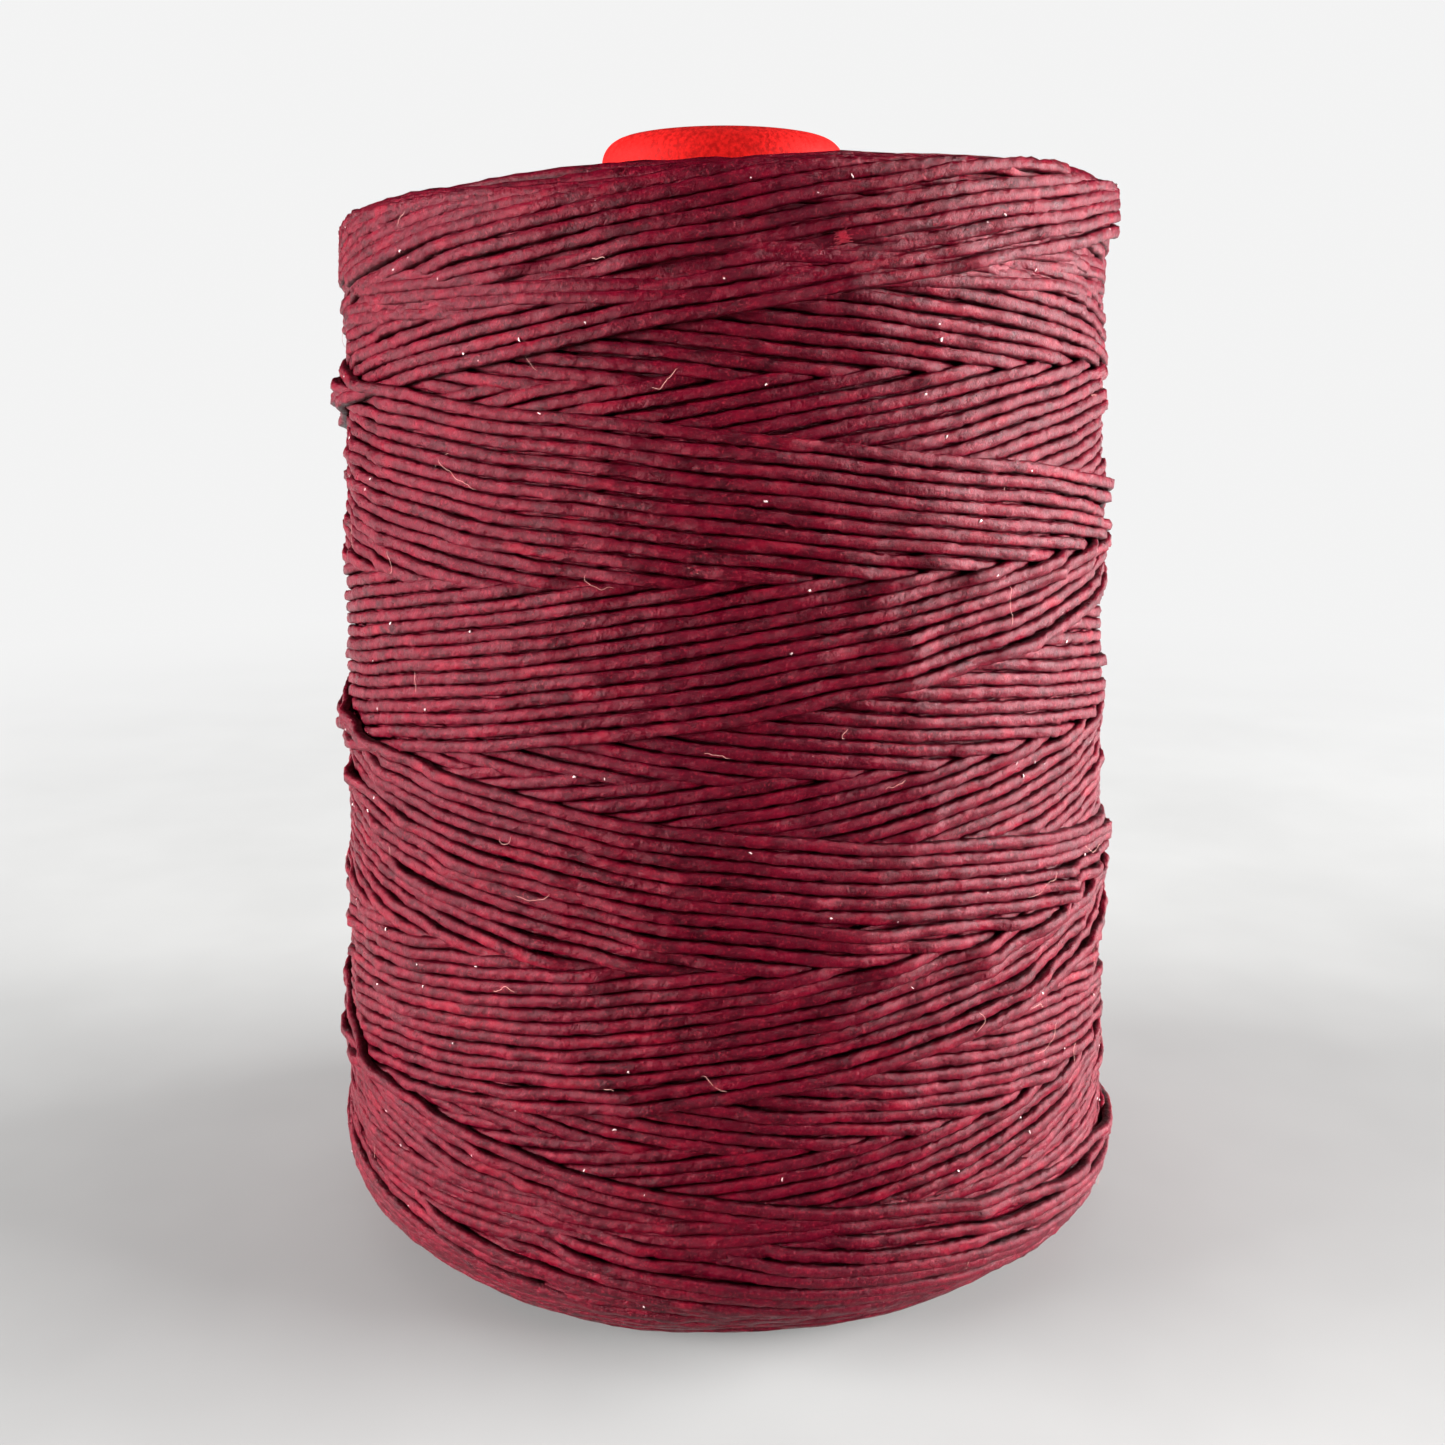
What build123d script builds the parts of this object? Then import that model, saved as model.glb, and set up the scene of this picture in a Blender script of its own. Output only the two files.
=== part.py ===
"""Waxed thread spool: a moulded plastic core tube carrying one long cross-wound waxed thread.

Frame: millimetres, +Z up along the spool's axis, origin at the centre of the base, X and Y level.
The spool stands upright on the lower lip of its core.
"""

import os
from math import tan, radians

from build123d import *

os.makedirs("parts", exist_ok=True)

# ---- driving dimensions ----------------------------------------------------------------------

# thread
thread_diameter = 1.0

# core tube
core_length = 89.0
bore_radius = 6.5
barrel_wall = 1.25
lip_radius = 9.75
lip_height = 4.4
lip_bead_round = 1.9
lip_foot_round = 0.8
lip_inner_round = 1.4
bore_edge_round = 0.6
grip_groove_count = 12
grip_groove_width = 1.4
grip_groove_depth = 0.35
grip_groove_margin = 1.0  # from each lip
start_slit_width = 0.8
start_slit_depth = 1.6

# wound package
package_radius = 32.0  # at half height
package_taper = 2.4  # degrees from the axis, wider at the base
package_bottom = 0.5
package_top = 84.0
package_top_round = 1.2
package_base_round = 7.5
package_top_dish = 0.6  # the top face sinks towards the core by this much
package_base_hollow = 4.0  # the underside rises towards the core by this much, over the lower lip

# start of the thread, trapped on the barrel
start_turns = 8
start_turn_bulge = 1.04  # neighbouring turns are pressed into each other a little

# gap between the thread and what it is wound on, so that neighbouring solids never overlap
wrap_gap = 0.05

# ---- worked-out dimensions -------------------------------------------------------------------

barrel_radius = bore_radius + barrel_wall
top_lip_underside = core_length - lip_height
package_height = package_top - package_bottom
taper_over_half = package_height / 2 * tan(radians(package_taper))
package_base_radius = package_radius + taper_over_half
package_top_radius = package_radius - taper_over_half
thread_seat_radius = barrel_radius + wrap_gap
start_bottom = lip_height + wrap_gap
start_height = start_turns * thread_diameter
start_radius = thread_seat_radius + thread_diameter
step_radius = start_radius + wrap_gap
step_height = start_bottom + start_height + wrap_gap
package_inner_bottom = package_bottom + package_base_hollow
package_inner_top = package_top - package_top_dish
groove_length = top_lip_underside - lip_height - 2 * grip_groove_margin


def circles_of(part, radius):
    """The part's circular edges of this radius, lowest first."""
    rings = part.edges().filter_by(GeomType.CIRCLE)
    return rings.filter_by(lambda edge: abs(edge.radius - radius) < 0.01).sort_by(Axis.Z)


# ---- core tube: barrel, a lip turned out at each end and a through bore -----------------------

with BuildPart() as core_tube:
    # barrel, with a lip turned out at each end
    with BuildSketch(Plane.XY):
        Circle(barrel_radius)
    extrude(amount=core_length)
    with BuildSketch(Plane.XY):
        Circle(lip_radius)
    extrude(amount=lip_height)
    with BuildSketch(Plane.XY.offset(top_lip_underside)):
        Circle(lip_radius)
    extrude(amount=lip_height)

    # rounded lips: a full bead at the top, a flatter foot at the base
    foot_rim, inner_rim, *top_rims = circles_of(core_tube, lip_radius)
    fillet(top_rims, radius=lip_bead_round)
    fillet(inner_rim, radius=lip_inner_round)
    fillet(foot_rim, radius=lip_foot_round)

    # shallow grooves along the barrel that keep the first turns from slipping
    with BuildSketch(Plane.XY.offset(lip_height + grip_groove_margin)):
        with PolarLocations(barrel_radius, grip_groove_count):
            Rectangle(2 * grip_groove_depth, grip_groove_width)
    extrude(amount=groove_length, mode=Mode.SUBTRACT)

    # slit in the lower lip, at the back, where the thread's start is caught
    with BuildSketch(Plane.XY):
        with Locations((0, lip_radius)):
            Rectangle(start_slit_width, 2 * start_slit_depth)
    extrude(amount=lip_height, mode=Mode.SUBTRACT)

    # through bore for the spindle, with eased mouths
    with BuildSketch(Plane.XY):
        Circle(bore_radius)
    extrude(amount=core_length, mode=Mode.SUBTRACT)
    fillet(circles_of(core_tube, bore_radius), radius=bore_edge_round)

core_tube.part.label = "core_tube"
export_step(core_tube.part, "parts/core_tube.step")


# ---- start wraps: close turns that trap the thread's start just above the lower lip -----------

with BuildPart() as start_wraps:
    with BuildSketch(Plane.XZ):
        with Locations((thread_seat_radius, start_bottom)):
            Rectangle(thread_diameter / 2, start_height, align=(Align.MIN, Align.MIN))
        turn_centres = [
            (thread_seat_radius + thread_diameter / 2, start_bottom + (turn + 0.5) * thread_diameter)
            for turn in range(start_turns)
        ]
        with Locations(turn_centres):
            Circle(thread_diameter / 2 * start_turn_bulge)
        # the pressed turns stay inside the space that the package leaves for them
        with Locations((thread_seat_radius, start_bottom)):
            Rectangle(thread_diameter, start_height, align=(Align.MIN, Align.MIN), mode=Mode.INTERSECT)
    revolve(axis=Axis.Z)

start_wraps.part.label = "start_wraps"
export_step(start_wraps.part, "parts/start_wraps.step")


# ---- thread package: the cross-wound body of the thread ---------------------------------------

with BuildPart() as thread_package:
    with BuildSketch(Plane.XZ):
        with BuildLine():
            # inner wall, stepped out around the start wraps, then the top face
            Polyline(
                (step_radius, package_inner_bottom),
                (step_radius, step_height),
                (thread_seat_radius, step_height),
                (thread_seat_radius, package_inner_top),
                (package_top_radius / 2, package_top),
                (package_top_radius, package_top),
            )
            # flank, then the underside, which clears the lower lip
            Polyline(
                (package_top_radius, package_top),
                (package_base_radius, package_bottom),
                (package_base_radius / 2, package_bottom),
                (step_radius, package_inner_bottom),
            )
        make_face()
    revolve(axis=Axis.Z)
    fillet(circles_of(thread_package, package_base_radius), radius=package_base_round)
    fillet(circles_of(thread_package, package_top_radius), radius=package_top_round)

thread_package.part.label = "thread_package"
export_step(thread_package.part, "parts/thread_package.step")
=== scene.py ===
"""Looks of the waxed thread spool: its thread wound strand by strand, and its moulded plastic core.

Lengths in the winding code are millimetres; MM turns them into the scene's metres.
Angles round the spool are measured from +X towards +Y, so the camera looks at -90 degrees.
"""

from math import cos, pi, radians, sin, sqrt, tan, tau

import bpy
import numpy as np
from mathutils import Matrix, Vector


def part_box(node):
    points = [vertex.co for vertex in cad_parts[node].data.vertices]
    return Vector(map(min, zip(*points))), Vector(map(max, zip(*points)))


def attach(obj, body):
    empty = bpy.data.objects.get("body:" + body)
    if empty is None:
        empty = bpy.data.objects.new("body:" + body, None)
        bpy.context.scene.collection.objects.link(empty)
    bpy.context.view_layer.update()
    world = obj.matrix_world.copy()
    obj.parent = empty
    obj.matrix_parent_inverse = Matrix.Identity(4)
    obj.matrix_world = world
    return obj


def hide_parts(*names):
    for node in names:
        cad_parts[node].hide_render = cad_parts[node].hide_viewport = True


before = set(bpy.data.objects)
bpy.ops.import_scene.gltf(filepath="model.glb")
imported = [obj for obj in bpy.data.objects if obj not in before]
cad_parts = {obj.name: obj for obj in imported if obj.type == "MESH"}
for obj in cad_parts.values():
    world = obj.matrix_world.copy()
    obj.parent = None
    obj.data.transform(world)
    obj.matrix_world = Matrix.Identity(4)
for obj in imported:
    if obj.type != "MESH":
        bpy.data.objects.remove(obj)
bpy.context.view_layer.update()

MM = 0.001
rng = np.random.default_rng(1845)

# ---- sizes from the frame ----------------------------------------------------------------------

package_low, package_high = (np.array(corner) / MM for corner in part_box("thread_package"))
core_low, core_high = (np.array(corner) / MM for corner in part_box("core_tube"))
package_bottom, package_top = package_low[2], package_high[2]
package_height = package_top - package_bottom

# ---- shape of the package ----------------------------------------------------------------------

TAPER = radians(2.4)  # of the flank, wider at the base
TOP_ROUND = 1.2
BASE_ROUND = 7.5
TOP_DISH = 0.6
BASE_HOLLOW = 4.0
FACE_ROUND = 6.0  # of the end faces, half way in, where they begin to slope
CORE_LIP = 2.0  # by which the core's lips stand out from its barrel
CORE_CLEARANCE = 0.6  # between the end faces' innermost threads and the core
BASE_MOUTH = 1.0  # further clearance at the base, over the core's lower lip
TOP_LEAN = 0.045  # the winding stands higher on the +X side, by this share of x at its top

base_radius = package_high[0] + BASE_ROUND * (tan(TAPER) + 1 / cos(TAPER) - 1)
top_radius = base_radius - package_height * tan(TAPER)
mean_radius = (base_radius + top_radius) / 2
barrel_radius = (core_high[0] - core_low[0]) / 2 - CORE_LIP

# ---- how the thread is wound -------------------------------------------------------------------

HALF_WIDTH = 0.49  # of the thread's section, as it is wound
HALF_HEIGHT = 0.44
THREADS_PER_BAND = 27  # neighbouring turns that fill one lead
LEAD = 26.5  # climb of the thread in one turn
STROKE_TURNS = 6 + 1 / THREADS_PER_BAND  # one climb and one descent
REVERSAL = 0.05  # turns that the thread takes to change direction, either side of the end
TRAVERSE = LEAD * (STROKE_TURNS / 2 - REVERSAL)
TOP_TURN_DEPTH = 0.8  # of the highest turn's centre under the package's top
STROKES = 2 * THREADS_PER_BAND
CROSSING_ANGLE = radians(-148)  # where the newest climbing and descending threads cross
END_ANGLE = radians(82)  # where the thread's end is tucked in, at the back

COLUMNS = 720  # samples per turn
ROW = 0.1  # height of a cell of the height field
MARGIN = 3.0  # height field beyond both ends of the traverse
RING_STEP = 2  # samples between a tube's rings
RING_SIDES = 12
SQUARENESS = 0.62  # 1 is an ellipse, and less is flatter on top
RAGGEDNESS = 0.08  # share by which points of a ring stand off the even section
SHOWN_HALF_WIDTH = 0.435  # a little less than it is wound at, so that dark lines part the threads
SOFTNESS = 0.10  # how far a thread presses into those under it
BEND_RADIUS = 5.0  # tightest dip that a taut thread follows
TAUT_REACH = 3.2  # half the widest dip that a taut thread can bridge
TAUT_SMOOTHING = 0.55  # along the thread, after it is pulled taut
TURN_OVERLAP = 24  # samples before and after a turn that count when it is pulled taut
OWN_DRIFT = 0.038  # sideways wander of one turn by itself
OWN_DRIFT_STEP = 14  # samples between the knots of that wander
EDGE_PLAY = 0.8  # how far short of the traverse's end a turn may reverse
EDGE_PLAY_REACH = 4.0  # from the traverse's end, within which a turn is moved by it
SEEN_TOLERANCE = 0.12  # a thread this far under the surface still counts as seen
TOPMOST_TOLERANCE = 0.03  # and this far under still counts as lying on top
SURFACE_SHARE = 0.8  # of the height field lies under the package's nominal surface
LAST_RINGS = 8  # of the thread, which carry no flecks or fibres
SEEN_SPREAD = 4  # rings kept beyond the last one seen, which tuck under the next thread
TUCK_RINGS = 4  # rings over which each seen stretch of thread sinks under its neighbours
TUCK_DEPTH = 0.5
TUCK_CURVE = 1.5  # above 1, the thread leaves the surface gently
END_SHRINK = 0.97  # share by which a stretch's last ring is thinner, which all but closes its end
MOST_FACES = 95_000  # of one piece of the flank's thread
PLY_LAY = 1.3  # from one ply to the next along the thread
THREAD_PITCH = LEAD / THREADS_PER_BAND
END_PITCH = 0.93  # between the rings of arcs on the end faces
END_STEP = 1.1  # between the rings of points along an arc
END_GAP = 0.4  # between the last ring of arcs and the outline's inner end
ARC_LENGTH = 26.0
ARC_OVERLAP = 8.0  # at each end of an arc
ARC_DIVE = 1.1  # the ends of an arc go this far under their neighbours
ARC_SHIFT = 0.381966  # of a turn from ring to ring, so that the arcs' ends don't line up
ARC_JITTER = 0.3  # radians, divided among the arcs of a ring
ARC_WANDER = 0.07  # of an arc sideways
ARC_RISE = 0.08  # of an arc up and down
RIM_OVERLAP = 7.5  # the end faces' threads begin this far under the flank's
RIM_SUNK = 0.1  # and lie this much deeper there
UNDER_DEPTH = 1.5  # of the closed body under the visible threads
UNDER_STEP = 0.35  # between its points along the outline
UNDER_SIDES = 180
UNDER_RIB = 0.25  # height of its ribs, one for each thread of a band
UNDER_SHADE = 0.2  # how lit it looks, where 1 is a thread's top and -1 its underside
HIGHEST_PILE = 0.85  # threads slip sideways rather than pile up further than this
RIM_BEVEL_WIDTH = 3.0  # strip along each rim where the layers underneath lie deeper
RIM_BEVEL_DEPTH = 2.4

# ---- numbers and places of the flecks and fibres -----------------------------------------------

WAX_FLECKS = 260
STRAY_FIBRES = 90
SLUB_FIBRES = 50
SLUB_ANGLE = radians(-75.5)
SLUB_LEVEL = 78.5
BIT_LEVEL = 0.93  # of a thread's half height, where the small bits lie on it
BIT_ASIDE = 0.4  # furthest that they lie from the middle of a thread

# ---- light and camera --------------------------------------------------------------------------

ROOM_LIGHT = 0.9
LEFT_POWER = 77
RIGHT_POWER = 124
SHINING_SHARE = 0.35  # of the windows' light that reflects off gloss
CAMERA_DISTANCE = 4.115 * mean_radius  # from the spool's axis
CAMERA_ASIDE = -0.1  # left of the axis
EYE_HEIGHT = 69.8
LOOK_DOWN = radians(12.25)
ROLL = radians(0.14)
SENSOR_WIDTH = 36.0
LENS = 38.6

# ---- outline of the package, as a curve that both the flank and the end faces use ---------------

def rounded_outline(corners, step=0.05):
    """Points every step along a polyline whose corners, (r, z, rounding), are replaced by arcs."""
    points = [np.array(corners[0][:2])]
    for before, here, after in zip(corners, corners[1:], corners[2:]):
        corner = np.array(here[:2])
        to_before = np.array(before[:2]) - corner
        to_after = np.array(after[:2]) - corner
        to_before /= np.linalg.norm(to_before)
        to_after /= np.linalg.norm(to_after)
        half_angle = np.arccos(np.clip(to_before @ to_after, -1, 1)) / 2
        reach = here[2] / tan(half_angle)
        middle = to_before + to_after
        centre = corner + middle / np.linalg.norm(middle) * here[2] / sin(half_angle)
        start, end = corner + to_before * reach - centre, corner + to_after * reach - centre
        sweep = pi - 2 * half_angle
        for share in np.linspace(0, 1, 40):
            arc = (start * sin((1 - share) * sweep) + end * sin(share * sweep)) / sin(sweep)
            points.append(centre + arc)
    points.append(np.array(corners[-1][:2]))
    points = np.array(points)
    along = np.concatenate([[0], np.cumsum(np.hypot(*np.diff(points, axis=0).T))])
    even = np.arange(0, along[-1], step)
    return even, np.stack([np.interp(even, along, points[:, axis]) for axis in (0, 1)], 1)


outline_along, outline = rounded_outline([
    (barrel_radius + CORE_CLEARANCE, package_top - TOP_DISH, 0),
    (top_radius / 2, package_top, FACE_ROUND),
    (top_radius, package_top, TOP_ROUND),
    (base_radius, package_bottom, BASE_ROUND),
    (base_radius / 2, package_bottom, FACE_ROUND),
    (barrel_radius + CORE_CLEARANCE + BASE_MOUTH, package_bottom + BASE_HOLLOW, 0),
])
outline_tangent = np.gradient(outline, axis=0)
outline_tangent /= np.linalg.norm(outline_tangent, axis=1)[:, None]
outline_normal = np.stack([-outline_tangent[:, 1], outline_tangent[:, 0]], 1)


def on_outline(along, table=None):
    """Outline points, or another per-point table's values, at these distances along the outline."""
    table = outline if table is None else table
    return np.stack([np.interp(along, outline_along, table[:, axis]) for axis in (0, 1)], -1)


corner_index = int(np.argmax(outline[:, 0] > top_radius - TOP_ROUND))
flank_start = outline_along[corner_index:][outline[corner_index:, 1] < package_top - TOP_TURN_DEPTH][0]
flank_end = flank_start + TRAVERSE


def package_points(angle, along, height):
    """Points in space at this angle, distance along the outline and height over it, and normals."""
    spot = on_outline(along)
    normal = on_outline(along, outline_normal)
    radius = spot[:, 0] + normal[:, 0] * height
    level = spot[:, 1] + normal[:, 1] * height
    x, y = radius * np.cos(angle), radius * np.sin(angle)
    level = level + TOP_LEAN * x * (level - package_bottom) / package_height
    outward = np.stack([normal[:, 0] * np.cos(angle), normal[:, 0] * np.sin(angle), normal[:, 1]], 1)
    return np.stack([x, y, level], 1), outward


# ---- laying the thread, turn by turn, on a height field -----------------------------------------

def waves(count, longest, shortest, size):
    """A sum of sines over (angle, height) that closes on itself round the spool."""
    turns = rng.integers(tau * mean_radius / longest, tau * mean_radius / shortest, count)
    climbs = rng.normal(0, 0.35, count)
    phases = rng.uniform(0, tau, count)
    strength = size * sqrt(2 / count)
    return lambda angle, height: strength * sum(
        np.sin(n * angle + k * height + p) for n, k, p in zip(turns, climbs, phases)
    )


def traverse_height(turns):
    """Height of the thread above the traverse's lower end after this many turns."""
    part = np.mod(turns, STROKE_TURNS)
    part = np.where(part > STROKE_TURNS / 2, STROKE_TURNS - part, part)
    to_end = STROKE_TURNS / 2 - part
    straight = LEAD * (part - REVERSAL / 2)
    low = LEAD * part ** 2 / (2 * REVERSAL)
    high = TRAVERSE - LEAD * to_end ** 2 / (2 * REVERSAL)
    return np.where(part < REVERSAL, low, np.where(to_end < REVERSAL, high, straight))


def taut(heights, step):
    """The line of a thread pulled tight over these supports: it bridges every narrow dip."""
    reach = int(TAUT_REACH / step)
    sag = (np.arange(-reach, reach + 1) * step) ** 2 / (2 * BEND_RADIUS)
    padded = np.pad(heights, reach, mode="edge")
    windows = np.lib.stride_tricks.sliding_window_view(padded, 2 * reach + 1)
    lifted = (windows - sag).max(1)
    padded = np.pad(lifted, reach, mode="edge")
    windows = np.lib.stride_tricks.sliding_window_view(padded, 2 * reach + 1)
    closed = (windows + sag).min(1)
    kernel = np.exp(-0.5 * (np.arange(-reach, reach + 1) * step / TAUT_SMOOTHING) ** 2)
    return np.convolve(np.pad(closed, reach, mode="edge"), kernel / kernel.sum(), mode="valid")


row_count = int((TRAVERSE + 2 * MARGIN) / ROW)
across = np.arange(-int(HALF_WIDTH / ROW), int(HALF_WIDTH / ROW) + 1)
bulge = HALF_HEIGHT * np.sqrt(1 - (across * ROW / HALF_WIDTH) ** 2)

# Neighbouring threads wander together.
shared_drift = waves(count=14, longest=45, shortest=11, size=0.06)
turn_step = tau * mean_radius / COLUMNS
crossing_row = TRAVERSE / 2 + LEAD  # climbing and descending bands meet on rows half a lead apart
last_stroke = STROKES - 1
crossing_turn = last_stroke * STROKE_TURNS + crossing_row / LEAD + REVERSAL / 2
start_angle = CROSSING_ANGLE - tau * crossing_turn
tail_turns = ((END_ANGLE - start_angle) / tau - STROKES * STROKE_TURNS) % 1.0
total_samples = int((STROKES * STROKE_TURNS + tail_turns) * COLUMNS)
edge_rows = int((MARGIN + RIM_BEVEL_WIDTH) / ROW)
inside = slice(edge_rows, row_count - edge_rows)  # rows away from both rims


def wind(under):
    """Lays the whole thread over a first surface.

    Returns, for each sample, its angle, its height up the traverse, its height over the outline, its row
    and its column, and then the height field.
    """
    field = np.repeat(under[None, :], COLUMNS, 0)
    samples = np.arange(total_samples)
    angle = start_angle + tau * samples / COLUMNS
    knots = samples[::OWN_DRIFT_STEP]
    own_drift = np.interp(samples, knots, rng.normal(0, OWN_DRIFT, len(knots)))
    strokes_run = samples / COLUMNS / STROKE_TURNS * 2
    reversals = 2 * STROKES + 2
    edge_play = np.interp(strokes_run, np.arange(reversals), rng.uniform(0, EDGE_PLAY, reversals))
    height = traverse_height(samples / COLUMNS)
    height = height + shared_drift(angle, height) + own_drift
    near_end = np.clip(1 - np.minimum(height, TRAVERSE - height) / EDGE_PLAY_REACH, 0, 1)
    height = height + near_end * edge_play * np.where(height > TRAVERSE / 2, -1, 1)
    rows = np.round((height + MARGIN) / ROW).astype(int)
    columns = samples % COLUMNS
    over = np.zeros(total_samples)
    raw_tail = np.zeros(0)
    for first in range(0, total_samples, COLUMNS):
        last = min(first + COLUMNS, total_samples)
        ahead = min(last + TURN_OVERLAP, total_samples)
        cells = rows[first:ahead, None] + across
        support = (field[columns[first:ahead, None], cells] + bulge).max(1)
        line = taut(np.concatenate([raw_tail, support]), turn_step)[len(raw_tail):]
        line = np.maximum(line, support) - SOFTNESS
        line = np.minimum(line, np.median(field[:, inside]) + HIGHEST_PILE)
        over[first:last] = line[: last - first]
        here = slice(0, last - first)
        top = over[first:last, None] + bulge
        columns_here = columns[first:last, None] + 0 * across
        field[columns_here, cells[here]] = np.maximum(field[columns_here, cells[here]], top)
        raw_tail = support[: last - first][-TURN_OVERLAP:]
    return angle, height, over, rows, columns, field


# The reversals pile up more thread than the flank does, so the layers under the rims lie deeper.
above_end = np.arange(row_count) * ROW - MARGIN
from_rim = np.minimum(above_end, TRAVERSE - above_end)
under = -RIM_BEVEL_DEPTH * np.clip(1 - from_rim / RIM_BEVEL_WIDTH, 0, 1)
angle, height, over, rows, columns, field = wind(under)
surface_level = np.quantile(field[:, inside], SURFACE_SHARE)


# ---- thread as a mesh: rings of points round a line ---------------------------------------------

def swell(count, every, size):
    """Slow random change along a thread, one value per ring, around 1."""
    knots = np.arange(0, count + every, every)
    return 1 + np.interp(np.arange(count), knots, rng.normal(0, size, len(knots)))


def tube(centres, outward, along, keep, thickness):
    """Vertices, faces and per-vertex values of a flattened tube, where keep says which rings exist."""
    tangent = np.gradient(centres, axis=0)
    tangent /= np.linalg.norm(tangent, axis=1)[:, None]
    normal = outward - tangent * (outward * tangent).sum(1)[:, None]
    normal /= np.linalg.norm(normal, axis=1)[:, None]
    side = np.cross(tangent, normal)
    turn = np.arange(RING_SIDES) * tau / RING_SIDES
    up, sideways = np.cos(turn), np.sin(turn)
    flat_up = np.sign(up) * np.abs(up) ** SQUARENESS
    flat_side = np.sign(sideways) * np.abs(sideways) ** SQUARENESS
    size = thickness[:, None] * (1 + rng.normal(0, RAGGEDNESS, (len(centres), RING_SIDES)))
    rings = (
        centres[:, None]
        + normal[:, None] * (HALF_HEIGHT * flat_up * size)[..., None]
        + side[:, None] * (SHOWN_HALF_WIDTH * flat_side * size)[..., None]
    )
    place = np.cumsum(keep) - 1
    joined = np.flatnonzero(keep[:-1] & keep[1:])
    first = place[joined][:, None] * RING_SIDES + np.arange(RING_SIDES)
    second = first + RING_SIDES
    faces = np.stack([first, np.roll(first, -1, 1), np.roll(second, -1, 1), second], -1).reshape(-1, 4)
    values = np.stack(np.broadcast_arrays(along[:, None], up[None, :], sideways[None, :]), -1)
    return rings[keep].reshape(-1, 3), faces, values[keep].reshape(-1, 3)


def mesh_object(name, vertices, faces, values=None, material=None):
    """A smooth-shaded piece from arrays in millimetres; values go into the 'lay' attribute."""
    mesh = bpy.data.meshes.new(name)
    mesh.vertices.add(len(vertices))
    mesh.vertices.foreach_set("co", (vertices * MM).ravel())
    mesh.loops.add(faces.size)
    mesh.loops.foreach_set("vertex_index", faces.ravel())
    mesh.polygons.add(len(faces))
    mesh.polygons.foreach_set("loop_start", np.arange(len(faces)) * 4)
    mesh.polygons.foreach_set("use_smooth", np.ones(len(faces), bool))
    if values is not None:
        lay = mesh.attributes.new("lay", "FLOAT_VECTOR", "POINT")
        lay.data.foreach_set("vector", values.astype(np.float32).ravel())
    mesh.update(calc_edges=True)
    mesh.validate()
    piece = bpy.data.objects.new(name, mesh)
    bpy.context.scene.collection.objects.link(piece)
    mesh.materials.append(material)
    return piece


def wound_piece(piece):
    """Every piece of the winding moves with the spool, and the CAD thread package is hidden."""
    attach(piece, "root")
    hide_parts("thread_package")


# ---- materials ----------------------------------------------------------------------------------

class Nodes:
    """A short way to write a material's node tree."""

    def __init__(self, name):
        self.material = bpy.data.materials.new(name)
        self.material.use_nodes = True
        self.tree = self.material.node_tree
        self.shader = self.tree.nodes["Principled BSDF"]

    def add(self, kind, inputs=(), **settings):
        node = self.tree.nodes.new(kind)
        for key, value in settings.items():
            setattr(node, key, value)
        for key, value in dict(inputs).items():
            self.feed(node.inputs[key], value)
        return node

    def feed(self, socket, value):
        if isinstance(value, bpy.types.NodeSocket):
            self.tree.links.new(value, socket)
        else:
            socket.default_value = value

    def maths(self, operation, first, second=0.0):
        return self.add("ShaderNodeMath", {0: first, 1: second}, operation=operation).outputs[0]

    def noise(self, vector, scale, detail=3.0, roughness=0.55):
        inputs = {"Vector": vector, "Scale": scale, "Detail": detail, "Roughness": roughness}
        return self.add("ShaderNodeTexNoise", inputs).outputs["Fac"]

    def ramp(self, value, *stops):
        node = self.add("ShaderNodeValToRGB", {"Fac": value})
        elements = node.color_ramp.elements
        for index, (position, colour) in enumerate(stops):
            element = elements[index] if index < 2 else elements.new(position)
            element.position = position
            element.color = (*colour, 1)
        return node.outputs["Color"]

    def blend(self, share, under, over, kind="MIX"):
        inputs = {0: share, 6: under, 7: over}
        return self.add("ShaderNodeMix", inputs, data_type="RGBA", blend_type=kind).outputs[2]

    def bump(self, height, distance, strength=1.0, normal=None):
        inputs = {"Height": height, "Distance": distance, "Strength": strength}
        if normal is not None:
            inputs["Normal"] = normal
        return self.add("ShaderNodeBump", inputs).outputs["Normal"]


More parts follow.
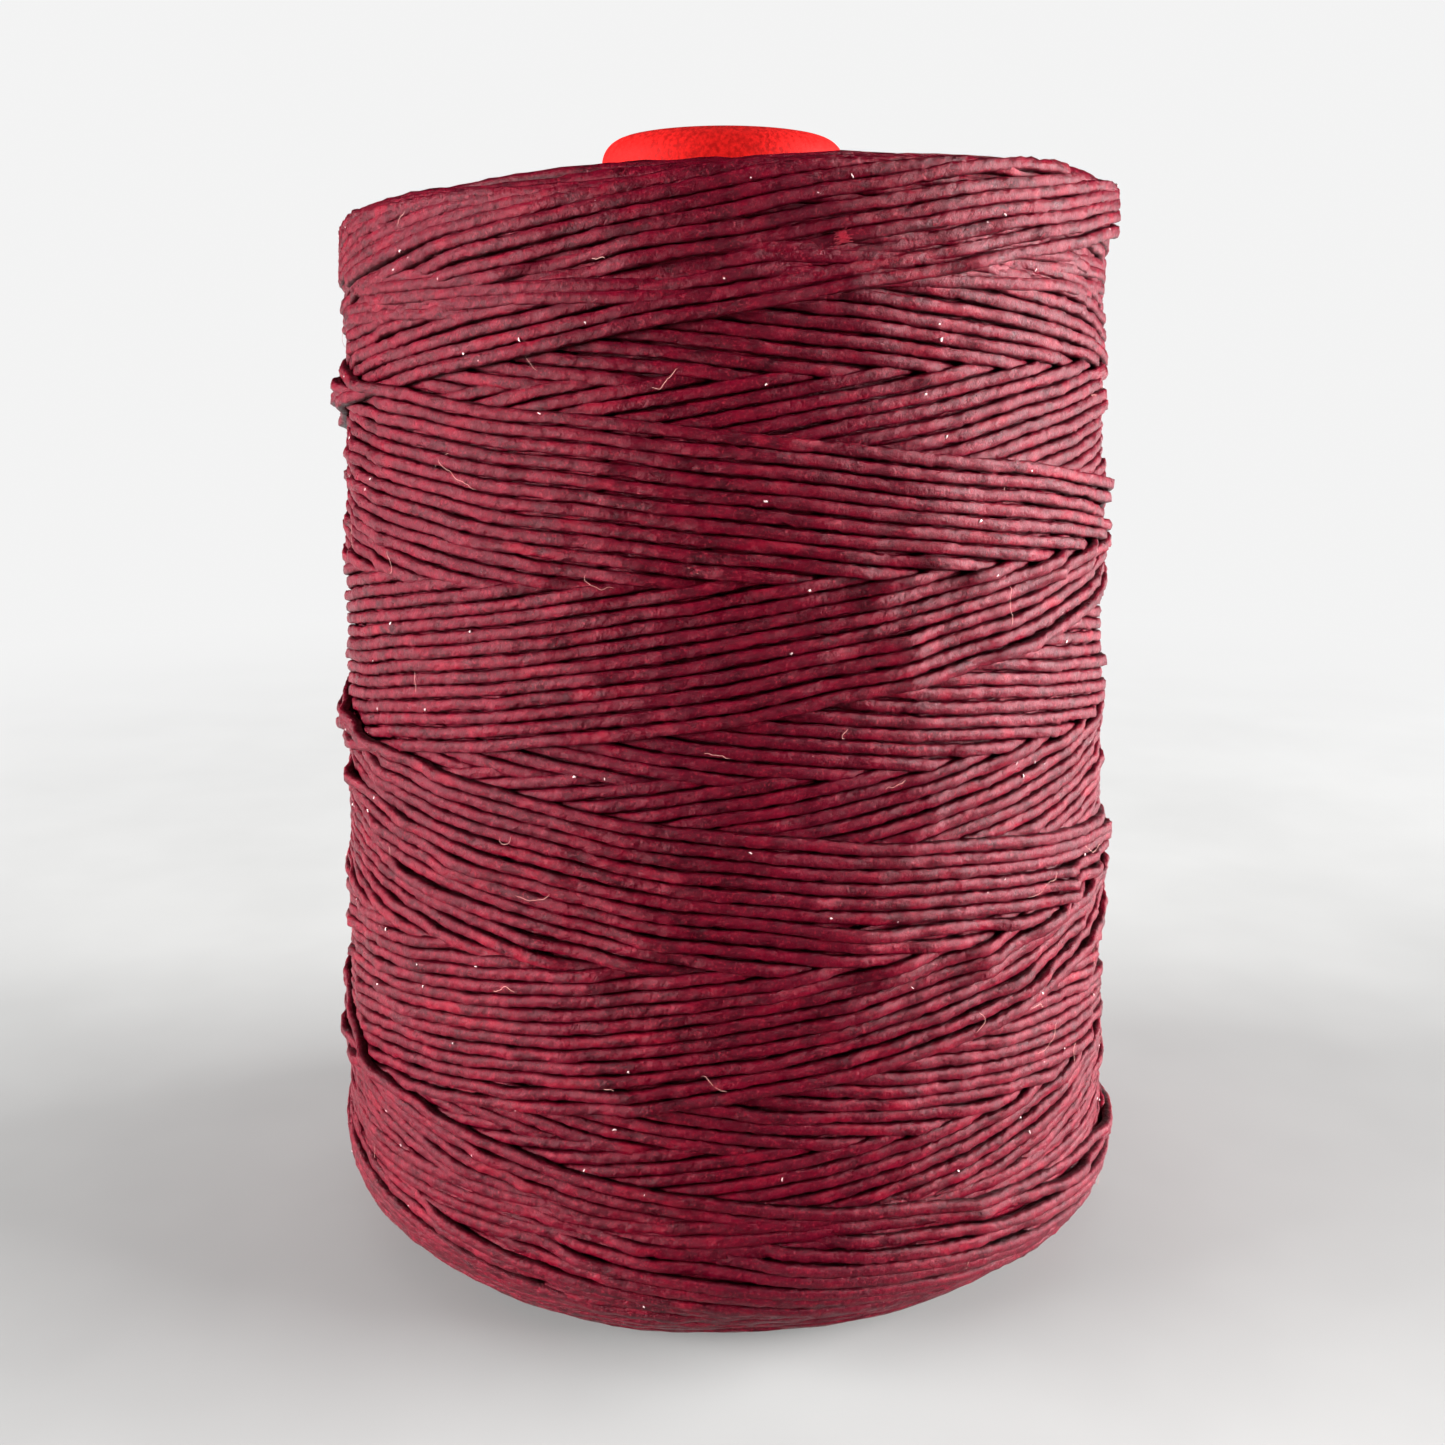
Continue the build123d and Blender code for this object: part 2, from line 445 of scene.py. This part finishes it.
def thread_material():
    """Waxed thread. It reads 'lay': the distance along the thread, and the point's place round it."""
    n = Nodes("waxed_thread")
    place = n.add("ShaderNodeTexCoord").outputs["Object"]
    lay = n.add("ShaderNodeAttribute", attribute_name="lay").outputs["Vector"]
    parts = n.add("ShaderNodeSeparateXYZ", {"Vector": lay}).outputs
    along, up, sideways = parts["X"], parts["Y"], parts["Z"]

    # three plies twisted together, and the fibres that run along each of them
    around = n.maths("ARCTAN2", sideways, up)
    twist = n.maths("ADD", n.maths("MULTIPLY", along, tau / PLY_LAY), n.maths("MULTIPLY", around, 3.0))
    plies = n.maths("SINE", twist)
    strand = n.add("ShaderNodeCombineXYZ", {"X": n.maths("MULTIPLY", along, 0.9), "Y": twist}).outputs[0]
    fibres = n.noise(strand, 1.6, 4.0, 0.7)
    stretch = n.add("ShaderNodeCombineXYZ", {"X": along, "Y": up, "Z": sideways}).outputs[0]
    drawn = n.add("ShaderNodeMapping", {"Vector": stretch, "Scale": (0.5, 0.5, 0.5)}).outputs[0]
    smears = n.noise(drawn, 1.2, 4.0, 0.65)
    stretches = n.noise(drawn, 0.16, 2.0, 0.5)
    lumps = n.noise(place, 2200.0, 4.0, 0.65)
    broad = n.noise(place, 90.0, 3.0)

    # crimson of changing depth, with patches of waxed fibres, vivid stretches and small pale specks
    crimson = n.ramp(smears, (0.32, (0.016, 0.0001, 0.0018)), (0.68, (0.088, 0.0002, 0.007)))
    waxed = n.ramp(fibres, (0.30, (0.022, 0.0003, 0.003)), (0.70, (0.072, 0.0010, 0.009)))
    haze = n.maths("ADD", n.maths("MULTIPLY", lumps, 0.5), n.maths("MULTIPLY", broad, 0.5))
    colour = n.blend(n.ramp(haze, (0.46, (0.0, 0.0, 0.0)), (0.60, (0.5, 0.5, 0.5))), crimson, waxed)
    vivid = n.maths("ADD", n.maths("MULTIPLY", stretches, 0.55), n.maths("MULTIPLY", smears, 0.45))
    vivid = n.ramp(vivid, (0.55, (0, 0, 0)), (0.68, (0.65, 0.65, 0.65)))
    colour = n.blend(vivid, colour, (0.145, 0.0004, 0.008, 1))
    specks = n.ramp(n.noise(place, 5500.0, 3.0, 0.6), (0.56, (0, 0, 0)), (0.66, (0.7, 0.7, 0.7)))
    colour = n.blend(specks, colour, (0.18, 0.008, 0.018, 1))
    # painted shade: the colour darkens towards each thread's flanks and underside, and the under layers
    # take their set shade, so the lines between threads look shaded
    shade = n.maths("ADD", n.maths("MULTIPLY", up, 0.5), 0.5)
    painted_flank_shade = n.ramp(shade, (0.44, (0.005, 0.005, 0.005)), (0.84, (1, 1, 1)))
    colour = n.blend(1.0, colour, painted_flank_shade, "MULTIPLY")
    n.feed(n.shader.inputs["Base Color"], colour)

    rough = n.ramp(lumps, (0.35, (0.27, 0.27, 0.27)), (0.65, (0.45, 0.45, 0.45)))
    n.feed(n.shader.inputs["Roughness"], rough)
    surface = n.bump(plies, 0.025 * MM, 0.6)
    surface = n.bump(fibres, 0.10 * MM, 0.7, surface)
    surface = n.bump(lumps, 0.16 * MM, 0.8, surface)
    n.feed(n.shader.inputs["Normal"], surface)
    n.shader.inputs["Specular IOR Level"].default_value = 0.30
    n.shader.inputs["Specular Tint"].default_value = (1.0, 0.45, 0.50, 1)
    return n.material


def plastic_material():
    """The core's matt red plastic, finely mottled."""
    n = Nodes("red_moulded_plastic")
    place = n.add("ShaderNodeTexCoord").outputs["Object"]
    mottle = n.noise(place, 2800.0, 3.0, 0.6)
    grain = n.noise(place, 3500.0, 2.0)
    wide = n.noise(place, 120.0, 2.0)
    colour = n.ramp(mottle, (0.38, (0.14, 0.0005, 0.0005)), (0.62, (0.30, 0.0035, 0.003)))
    colour = n.blend(n.maths("MULTIPLY", wide, 0.3), colour, (0.37, 0.008, 0.006, 1))
    n.feed(n.shader.inputs["Base Color"], colour)
    rough = n.ramp(mottle, (0.30, (0.60, 0.60, 0.60)), (0.70, (0.78, 0.78, 0.78)))
    n.feed(n.shader.inputs["Roughness"], rough)
    surface = n.bump(grain, 0.02 * MM, 0.6)
    surface = n.bump(mottle, 0.06 * MM, 0.6, surface)
    n.feed(n.shader.inputs["Normal"], surface)
    n.shader.inputs["Specular IOR Level"].default_value = 0.09
    return n.material


def small_bit_material(name, colour, roughness):
    """For flecks and fibres: one colour with darker spots."""
    n = Nodes(name)
    place = n.add("ShaderNodeTexCoord").outputs["Object"]
    darker = tuple(0.6 * part for part in colour)
    n.feed(n.shader.inputs["Base Color"], n.ramp(n.noise(place, 3000.0), (0.35, darker), (0.65, colour)))
    n.feed(n.shader.inputs["Normal"], n.bump(n.noise(place, 6000.0), 0.03 * MM, 0.6))
    n.shader.inputs["Roughness"].default_value = roughness
    return n.material


def pale_material():
    """Pale and matt, and further out it turns into the even white of the room."""
    n = Nodes("pale_floor")
    place = n.add("ShaderNodeTexCoord").outputs["Object"]
    tone = n.ramp(n.noise(place, 30.0), (0.3, (0.29, 0.29, 0.287)), (0.7, (0.32, 0.32, 0.317)))
    n.feed(n.shader.inputs["Base Color"], tone)
    n.shader.inputs["Roughness"].default_value = 0.7
    distance = n.add("ShaderNodeVectorMath", {0: place}, operation="LENGTH").outputs["Value"]
    fade = n.add("ShaderNodeMapRange", {"Value": distance, "From Min": 0.05, "From Max": 0.36},
                 interpolation_type="SMOOTHSTEP").outputs["Result"]
    glow = n.add("ShaderNodeEmission", {"Color": (1, 1, 1, 1), "Strength": ROOM_LIGHT})
    mix = n.add("ShaderNodeMixShader", {0: fade, 1: n.shader.outputs[0], 2: glow.outputs[0]})
    n.feed(n.tree.nodes["Material Output"].inputs["Surface"], mix.outputs[0])
    return n.material


waxed_thread = thread_material()

# ---- the flank's threads ------------------------------------------------------------------------

cells = rows[:, None] + across
seen = (over[:, None] + bulge >= field[columns[:, None], cells] - SEEN_TOLERANCE).any(1)
ring_index = np.arange(0, total_samples - RING_STEP, RING_STEP)
ring_seen = seen[ring_index] | seen[ring_index + 1]
ring_surface = field[columns[ring_index], rows[ring_index]]
top_most = ring_seen & (over[ring_index] > ring_surface - HALF_HEIGHT - TOPMOST_TOLERANCE)
top_most[-LAST_RINGS:] = False
for _ in range(SEEN_SPREAD):
    ring_seen = ring_seen | np.roll(ring_seen, 1) | np.roll(ring_seen, -1)

# Near a hidden ring, the thread tucks under its neighbours.
ring_number = np.arange(len(ring_seen))
hidden = np.flatnonzero(~ring_seen)
near = np.searchsorted(hidden, ring_number)
hidden = np.concatenate([[-TUCK_RINGS], hidden, [len(ring_seen) + 1]])
from_gap = np.minimum(ring_number - hidden[near], hidden[near + 1] - ring_number)
tuck = np.clip(1 - (from_gap - 1) / TUCK_RINGS, 0, 1) ** TUCK_CURVE
lift = over[ring_index] - surface_level - TUCK_DEPTH * tuck
centres, outward = package_points(angle[ring_index], flank_end - height[ring_index], lift)
along = np.concatenate([[0], np.cumsum(np.linalg.norm(np.diff(centres, axis=0), axis=1))])
thickness = swell(len(ring_index), every=4, size=0.04) * (1 - END_SHRINK * tuck)
rings_per_piece = MOST_FACES // RING_SIDES
kept = np.cumsum(ring_seen)
piece_count = int(np.ceil(kept[-1] / rings_per_piece))
shares = np.arange(1, piece_count + 1) / piece_count
cuts = [0, *(np.searchsorted(kept, kept[-1] * share) for share in shares)]
for number, (first, last) in enumerate(zip(cuts, cuts[1:]), 1):
    span = slice(first, last + 1)
    stretch = [table[span] for table in (centres, outward, along, ring_seen, thickness)]
    vertices, faces, values = tube(*stretch)
    wound_piece(mesh_object(f"thread_wraps_{number:02d}", vertices, faces, values, waxed_thread))

# ---- threads of the end faces -------------------------------------------------------------------

def end_face(name, rim, inner):
    """Arcs of thread where deeper layers turn back, in rings from under the flank's rim to the core."""
    inward = np.sign(inner - rim)
    pieces = []
    count = 0
    for number, place in enumerate(np.arange(rim - inward * RIM_OVERLAP, inner, END_PITCH * inward)):
        radius = on_outline(np.array([place]))[0, 0]
        arcs = max(3, round(tau * radius / ARC_LENGTH))
        reach = pi / arcs + ARC_OVERLAP / radius
        sunk = RIM_SUNK * np.clip(1 - (place - rim) * inward / RIM_OVERLAP, 0, 1)
        for arc in range(arcs):
            steps = int(2 * reach * radius / END_STEP)
            share = np.linspace(-1, 1, steps)
            middle = tau * (arc / arcs + number * ARC_SHIFT) + rng.normal(0, ARC_JITTER / arcs)
            turn = middle + share * reach
            wander = np.interp(share, np.linspace(-1, 1, 7), rng.normal(0, ARC_WANDER, 7))
            spot = place - inward * share * END_PITCH * 0.5 + wander
            dive = ARC_DIVE * share ** 2 * np.abs(share)
            rise = np.interp(share, np.linspace(-1, 1, 6), rng.normal(0, ARC_RISE, 6))
            points, out = package_points(turn, spot, rise - dive - sunk - HALF_HEIGHT)
            thickness = swell(steps, every=5, size=0.03) * (1 - END_SHRINK * np.abs(share) ** 16)
            length = np.linspace(0, 2 * reach * radius, steps) + rng.uniform(0, 50)
            v, f, values = tube(points, out, length, np.ones(steps, bool), thickness)
            pieces.append((v, f + count, values))
            count += len(v)
    vertices, faces, values = (np.concatenate([piece[i] for piece in pieces]) for i in range(3))
    wound_piece(mesh_object(name, vertices, faces, values, waxed_thread))


end_face("thread_top_face", rim=flank_start, inner=END_GAP)
end_face("thread_base_face", rim=flank_end, inner=outline_along[-1] - END_GAP)

# ---- layers under the visible threads -----------------------------------------------------------

def under_layers():
    """A closed ribbed body just below the visible threads, so that no gap looks into emptiness."""
    places = np.arange(outline_along[0], outline_along[-1], UNDER_STEP)
    turns = np.arange(UNDER_SIDES) * tau / UNDER_SIDES
    ribs = UNDER_RIB * np.abs(np.sin(pi * places / THREAD_PITCH))
    grid = [package_points(np.full(len(places), turn), places, ribs - UNDER_DEPTH)[0] for turn in turns]
    vertices = np.concatenate(grid)
    count = len(places)
    column = np.arange(len(turns))[:, None] * count
    following = np.roll(column, -1, 0)
    step = np.arange(count)
    after = np.roll(step, -1)
    corners = [column + step, column + after, following + after, following + step]
    faces = np.stack(corners, -1).reshape(-1, 4)
    values = np.stack([vertices[:, 2] * 3, np.full(len(vertices), UNDER_SHADE), np.zeros(len(vertices))], 1)
    wound_piece(mesh_object("thread_under_layers", vertices, faces, values, waxed_thread))


under_layers()

# ---- flecks of wax and stray fibres -------------------------------------------------------------

def anywhere(count):
    """Different rings of thread that lie on top, picked at random."""
    return rng.choice(np.flatnonzero(top_most), count, replace=False)


def nearest_ring(turn, level):
    """The ring of thread lying on top that is nearest to this angle and height."""
    spots = np.flatnonzero(top_most)
    aside = mean_radius * ((angle[ring_index[spots]] - turn + pi) % tau - pi)
    return spots[np.hypot(aside, centres[spots, 2] - level).argmin()]


def scattered(name, spots, material, shape):
    """Small closed bits on these rings of thread; shape gives each one's line and thickness."""
    pieces = []
    count = 0
    for spot in spots:
        outward_here = outward[spot]
        forward = centres[spot + 1] - centres[spot]
        forward /= np.linalg.norm(forward)
        aside = np.cross(forward, outward_here)
        line, size = shape(forward, aside, outward_here)
        on_thread = centres[spot] + outward_here * HALF_HEIGHT * BIT_LEVEL
        start = on_thread + aside * rng.uniform(-BIT_ASIDE, BIT_ASIDE)
        steps = len(line)
        facing = np.tile(outward_here, (steps, 1))
        v, f, _ = tube(start + line, facing, np.zeros(steps), np.ones(steps, bool), size)
        pieces.append((v, f + count))
        count += len(v)
    vertices, faces = (np.concatenate([piece[i] for piece in pieces]) for i in range(2))
    wound_piece(mesh_object(name, vertices, faces, None, material))


def fleck(forward, aside, up):
    """A short uneven crumb that lies flat on the thread."""
    heading = forward * rng.normal() + aside * rng.normal()
    heading /= np.linalg.norm(heading)
    length = rng.uniform(0.10, 0.34)
    places = np.array([-0.5, -0.42, -0.2, 0.1, 0.36, 0.5])
    line = places[:, None] * length * heading + rng.normal(0, 0.02, (6, 3))
    size = np.array([0.02, 0.7, 1.0, 0.9, 0.6, 0.02]) * rng.uniform(0.05, 0.20)
    return line, size


def fibre(forward, aside, up):
    """A fine curling hair that rises off the thread."""
    steps = 16
    length = rng.uniform(0.8, 4.0)
    bends = np.cumsum(rng.normal(0, 0.35, (steps, 2)), 0)
    heading = forward * np.cos(bends[:, :1]) + aside * np.sin(bends[:, :1])
    heading = heading * rng.choice([-1, 1])
    line = np.cumsum(heading, 0) * length / steps
    share = np.linspace(0, 1, steps)[:, None]
    arch = up * np.sin(share * rng.uniform(0.6, 2.6)) * rng.uniform(0.15, 0.5) * length / 3
    line = line - line[0] + arch
    size = 0.028 * np.clip(np.minimum(share[:, 0], 1 - share[:, 0]) * 12, 0.1, 1)
    return line, size


def slub_fibre(forward, aside, up):
    """One fibre of a tuft that lies along the thread."""
    share = np.linspace(0, 1, 7)[:, None]
    fan = rng.normal(0, 0.4)
    heading = forward * cos(fan) + aside * sin(fan)
    straight = heading * (share - rng.uniform(0, 0.7)) * rng.uniform(0.4, 1.0)
    size = 0.045 * np.clip(np.minimum(share[:, 0], 1 - share[:, 0]) * 6, 0.1, 1)
    return straight + up * share * (1 - share) * 0.6, size


wax = small_bit_material("wax_flecks", (0.66, 0.48, 0.47), 0.4)
fluff = small_bit_material("stray_fibres", (0.62, 0.30, 0.26), 0.5)
slub = small_bit_material("red_slub", (0.26, 0.004, 0.018), 0.6)
scattered("wax_flecks", anywhere(WAX_FLECKS), wax, fleck)
scattered("stray_fibres", anywhere(STRAY_FIBRES), fluff, fibre)
scattered("red_slub", np.full(SLUB_FIBRES, nearest_ring(SLUB_ANGLE, SLUB_LEVEL)), slub, slub_fibre)

# ---- the CAD nodes that stay --------------------------------------------------------------------

for node, material in (("core_tube", plastic_material()), ("start_wraps", waxed_thread)):
    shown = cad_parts[node]
    for slot in shown.material_slots:
        slot.material = material

# ---- floor, light and camera --------------------------------------------------------------------

def plane(name, size, level, material):
    """A level square round the spool's axis."""
    mesh = bpy.data.meshes.new(name)
    half = size / 2
    corners = [(-half, -half, level), (half, -half, level), (half, half, level), (-half, half, level)]
    mesh.from_pydata(corners, [], [(0, 1, 2, 3)])
    mesh.materials.append(material)
    made = bpy.data.objects.new(name, mesh)
    bpy.context.scene.collection.objects.link(made)
    return made


def softbox(name, place, aim, width, height, power, shines):
    """A window-like lamp that the camera doesn't see, and gloss only if it shines."""
    light = bpy.data.lights.new(name, "AREA")
    light.shape = "RECTANGLE"
    light.size = width
    light.size_y = height
    light.energy = power
    made = bpy.data.objects.new(name, light)
    made.location = place
    made.rotation_euler = (Vector(aim) - Vector(place)).to_track_quat("-Z", "Y").to_euler()
    made.visible_camera = False
    made.visible_glossy = shines
    bpy.context.scene.collection.objects.link(made)


plane("floor", size=60.0, level=0.0, material=pale_material())

spool_middle = (0, 0, package_height / 2 * MM)
# Only part of each window's light shines off the wax, so that its glare stays soft from every side.
for shines, share in ((True, SHINING_SHARE), (False, 1 - SHINING_SHARE)):
    kind = "shine" if shines else "fill"
    softbox(f"left_{kind}", (-1.03, -0.22, 0.16), spool_middle, 0.8, 0.29, LEFT_POWER * share, shines)
    softbox(f"right_{kind}", (1.10, 0.0, 0.16), spool_middle, 1.0, 0.30, RIGHT_POWER * share, shines)

world = bpy.data.worlds.new("pale_room")
world.use_nodes = True
world.node_tree.nodes["Background"].inputs["Color"].default_value = (1, 1, 1, 1)
world.node_tree.nodes["Background"].inputs["Strength"].default_value = ROOM_LIGHT
world.cycles_visibility.glossy = False
bpy.context.scene.world = world


def dark_card(name, profile, half_angle):
    """A curved dark card on the camera's side, which keeps the front of the spool deep in colour.

    The profile is (radius, height) pairs in metres. From behind the card is clear, so that the floor
    under it keeps its light.
    """
    turns = np.linspace(-pi / 2 - half_angle, -pi / 2 + half_angle, 25)
    points = [
        (radius * cos(turn), radius * sin(turn), level)
        for turn in turns for radius, level in profile
    ]
    row = len(profile)
    quads = [
        (here, here + 1, here + row + 1, here + row)
        for here in range(row * (len(turns) - 1)) if (here + 1) % row
    ]
    mesh = bpy.data.meshes.new(name)
    mesh.from_pydata(points, [], quads)
    n = Nodes(name)
    n.shader.inputs["Base Color"].default_value = (0.02, 0.02, 0.02, 1)
    n.shader.inputs["Roughness"].default_value = 0.9
    behind = n.add("ShaderNodeNewGeometry").outputs["Backfacing"]
    clear = n.add("ShaderNodeBsdfTransparent").outputs[0]
    mix = n.add("ShaderNodeMixShader", {0: behind, 1: n.shader.outputs[0], 2: clear})
    n.feed(n.tree.nodes["Material Output"].inputs["Surface"], mix.outputs[0])
    mesh.materials.append(n.material)
    card = bpy.data.objects.new(name, mesh)
    card.visible_camera = False
    bpy.context.scene.collection.objects.link(card)
    return card


dark_card("far_dark_card", [(1.6, 0.0), (1.6, 2.0)], radians(74))
dark_card("near_dark_card", [(0.04, 0.001), (0.4, 0.001), (0.4, 0.9)], radians(52))

camera_data = bpy.data.cameras.new("camera")
camera_data.sensor_width = SENSOR_WIDTH
camera_data.lens = LENS
camera_data.clip_start = 0.01
camera_data.clip_end = 20
camera = bpy.data.objects.new("camera", camera_data)
camera.location = (CAMERA_ASIDE * MM, -CAMERA_DISTANCE * MM, EYE_HEIGHT * MM)
camera.rotation_euler = (pi / 2 - LOOK_DOWN, ROLL, 0)
bpy.context.scene.collection.objects.link(camera)
bpy.context.scene.camera = camera

bpy.context.scene.view_settings.view_transform = "Standard"
